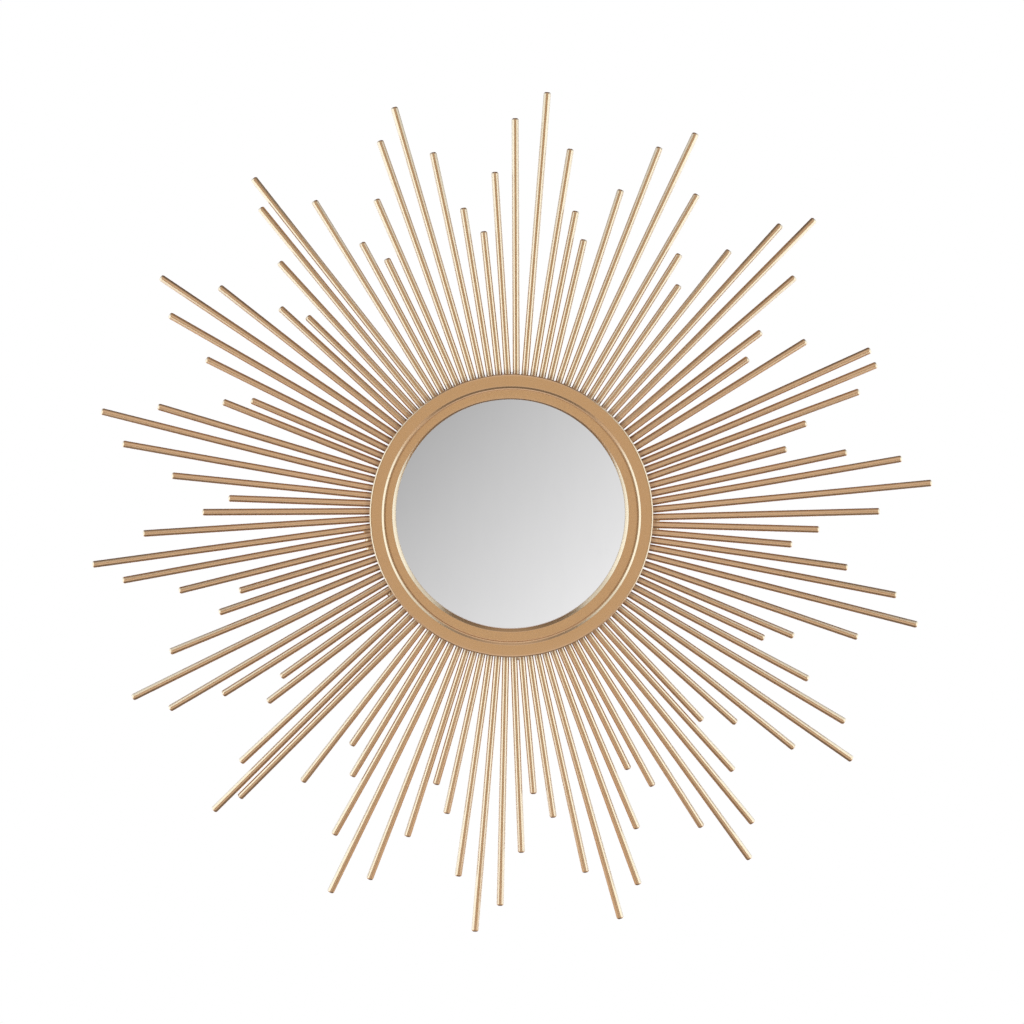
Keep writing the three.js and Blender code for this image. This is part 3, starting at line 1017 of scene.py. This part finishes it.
def add_bumpers():
    """Rubber bumpers, rounded where they meet the wall."""
    for number in range(1, 5):
        node = f"wall_bumper_{number}"
        low, high = box_mm(node)
        radius = (high.x - low.x) / 2
        outline = [(0, -low.y), (radius, -low.y)]
        for step in range(BUMPER_ROUND_STEPS + 1):
            angle = math.pi / 2 * step / BUMPER_ROUND_STEPS
            depth = BUMPER_ROUND * (1 - math.sin(angle)) - high.y
            outline.append((radius - BUMPER_ROUND * (1 - math.cos(angle)), depth))
        outline.append((0, -high.y))
        shell = turned_disc(outline, SMALL_SIDES, middle_mm(node))
        add_piece(node + "_dome", [shell], RUBBER, [node])


# ---- Studio ---------------------------------------------------------------------------------------------

def add_camera():
    tilt = math.radians(VIEW_ELEVATION)
    target = Vector((VIEW_TARGET[0], RAY_Y * MM, VIEW_TARGET[1]))
    away = Vector((0, -math.cos(tilt), math.sin(tilt)))
    data = bpy.data.cameras.new("camera")
    data.sensor_width = SENSOR_WIDTH
    data.lens = SENSOR_WIDTH * VIEW_DISTANCE / VIEW_WIDTH
    camera = bpy.data.objects.new("camera", data)
    camera.location = target + away * VIEW_DISTANCE
    camera.rotation_mode = "QUATERNION"
    camera.rotation_quaternion = (-away).to_track_quat("-Z", "Y")
    bpy.context.scene.collection.objects.link(camera)
    bpy.context.scene.camera = camera


def add_floor():
    bpy.ops.mesh.primitive_circle_add(
        vertices=FLOOR_SIDES,
        radius=FLOOR_RADIUS,
        fill_type="NGON",
        location=(0, 0, -FLOOR_DROP),
    )
    floor = bpy.context.object
    floor.name = "floor"
    floor.data.materials.append(pale_floor())


def add_panels():
    """Soft boxes at the sides, three above one another: the brightest is level with the mirror.

    They light the gold alone. The glass and everything behind it are left to the light all round. The
    pieces have to be in the scene already.
    """
    length = PANEL_FAR - PANEL_NEAR
    flagged = bpy.data.collections.new("flagged_from_soft_boxes")
    for piece in bpy.context.scene.objects:
        if piece.type == "MESH" and GOLD not in list(piece.data.materials):
            flagged.objects.link(piece)
    for piece in flagged.collection_objects:
        piece.light_linking.link_state = "EXCLUDE"
    for side, turn in ((-1, -90), (1, 90)):
        for middle, height, radiance, tint in PANELS:
            data = bpy.data.lights.new("soft_box", "AREA")
            data.shape = "RECTANGLE"
            data.size = height
            data.size_y = length
            data.color = tint
            data.energy = radiance * math.pi * height * length
            light = bpy.data.objects.new("soft_box", data)
            light.location = (side * PANEL_OFF, (PANEL_NEAR + PANEL_FAR) / 2, middle)
            light.rotation_euler = (0, math.radians(turn), 0)
            light.visible_camera = False
            light.light_linking.receiver_collection = flagged
            bpy.context.scene.collection.objects.link(light)


def plain_grey(nodes, value):
    colour = nodes.add("ShaderNodeCombineColor")
    for socket in colour.inputs:
        nodes.feed(socket, value)
    return colour.outputs[0]


def light_all_round(nodes, x, z, ahead):
    """The light for a direction's parts to the right, upwards and straight ahead, as a colour socket.

    It is even and warm in front, cooler and brighter above and below, and falls off away from straight
    ahead. Past the mirror's edge a dim light takes over, with a soft bright one straight behind.
    """
    off_front = nodes.math("DEGREES", nodes.math("ARCCOSINE", ahead))
    height = nodes.math("ABSOLUTE", nodes.math("DEGREES", nodes.math("ARCSINE", z)))
    sideways = nodes.math("ABSOLUTE", x)

    near_middle = nodes.ramp(sideways, *TALL_SIDES, 1.0, 0.0)
    tall = nodes.math("MULTIPLY", nodes.ramp(height, *TALL_HEIGHTS), near_middle)
    tall = nodes.math("MULTIPLY", tall, nodes.ramp(height, *TALL_FADE, 1.0, TALL_FADE_END))
    colour = nodes.blend(tall, FRONT_LIGHT, TALL_LIGHT)

    above = nodes.ramp(z, *HORIZON_SPAN)
    rear = nodes.math("MULTIPLY_ADD", above, REAR_HIGH_CHANGE, REAR_LOW)
    rear = nodes.math("ADD", rear, nodes.ramp(off_front, *BACK_SPAN, 0.0, BACK_LIGHT))
    falling = nodes.ramp(off_front, *FALL_SPAN, 1.0, FALL_END)
    falling = nodes.math("MULTIPLY", falling, nodes.ramp(sideways, *ASIDE_SPAN, 1.0, ASIDE_END))
    past_edge = nodes.ramp(off_front, *EDGE_SPAN)
    strength = nodes.math("MULTIPLY_ADD", past_edge, nodes.math("SUBTRACT", rear, falling), falling)

    light = nodes.add("ShaderNodeVectorMath", operation="SCALE")
    nodes.feed(light.inputs[0], colour)
    nodes.feed(light.inputs["Scale"], strength)
    return light.outputs[0]


def studio_light(nodes):
    """The light that arrives from each direction, as a colour socket.

    It is the light all round, but for a small patch straight ahead. The glass shows that patch to the
    camera: a grey that brightens to the lower right.
    """
    direction = nodes.add("ShaderNodeSeparateXYZ")
    nodes.tree.links.new(nodes.add("ShaderNodeTexCoord").outputs["Generated"], direction.inputs[0])
    x, y, z = direction.outputs
    ahead = nodes.math("MULTIPLY", y, -1.0)
    up = nodes.math("ADD", z, math.sin(math.radians(VIEW_ELEVATION)))
    grey = nodes.math("MULTIPLY_ADD", x, GLASS_RIGHT, GLASS_GREY)
    grey = nodes.math("MULTIPLY_ADD", up, GLASS_UP, grey)
    grey = nodes.math("MINIMUM", nodes.math("MAXIMUM", grey, GLASS_DARKEST), GLASS_BRIGHTEST)
    spread = nodes.math("SQRT", nodes.math("MULTIPLY_ADD", x, x, nodes.math("MULTIPLY", up, up)))
    in_patch = nodes.ramp(spread, *GLASS_SPAN, 1.0, 0.0)
    in_patch = nodes.math("MULTIPLY", in_patch, nodes.ramp(ahead, 0.0, 0.5))
    return nodes.blend(in_patch, light_all_round(nodes, x, z, ahead), plain_grey(nodes, grey))


def add_world():
    """White behind the object, and the studio's light everywhere else."""
    world = bpy.data.worlds.new("studio")
    world.use_nodes = True
    nodes = Nodes(world.node_tree)
    background = world.node_tree.nodes["Background"]
    seen = nodes.add("ShaderNodeLightPath").outputs["Is Camera Ray"]
    nodes.feed(background.inputs["Color"], nodes.blend(seen, studio_light(nodes), (1, 1, 1, 1)))
    bpy.context.scene.world = world


# ---- The whole picture ----------------------------------------------------------------------------------

add_camera()
add_world()
add_floor()
bpy.context.scene.view_settings.view_transform = "Standard"

ray_lines = add_rays()
add_hoop_beads(ray_lines)
add_weld_webs(ray_lines)
add_front_frame()
add_bezel()
add_disc("mirror_glass_disc", "mirror_glass", SILVER, GLASS_EDGE)
add_disc("glass_cushion_pad", "glass_cushion", FELT, CUSHION_EDGE)
add_disc("backing_board_disc", "backing_board", BOARD, BOARD_EDGE)
add_hoop()
add_screws()
add_clips()
add_straps()
add_hanger_rings()
add_bumpers()
add_panels()
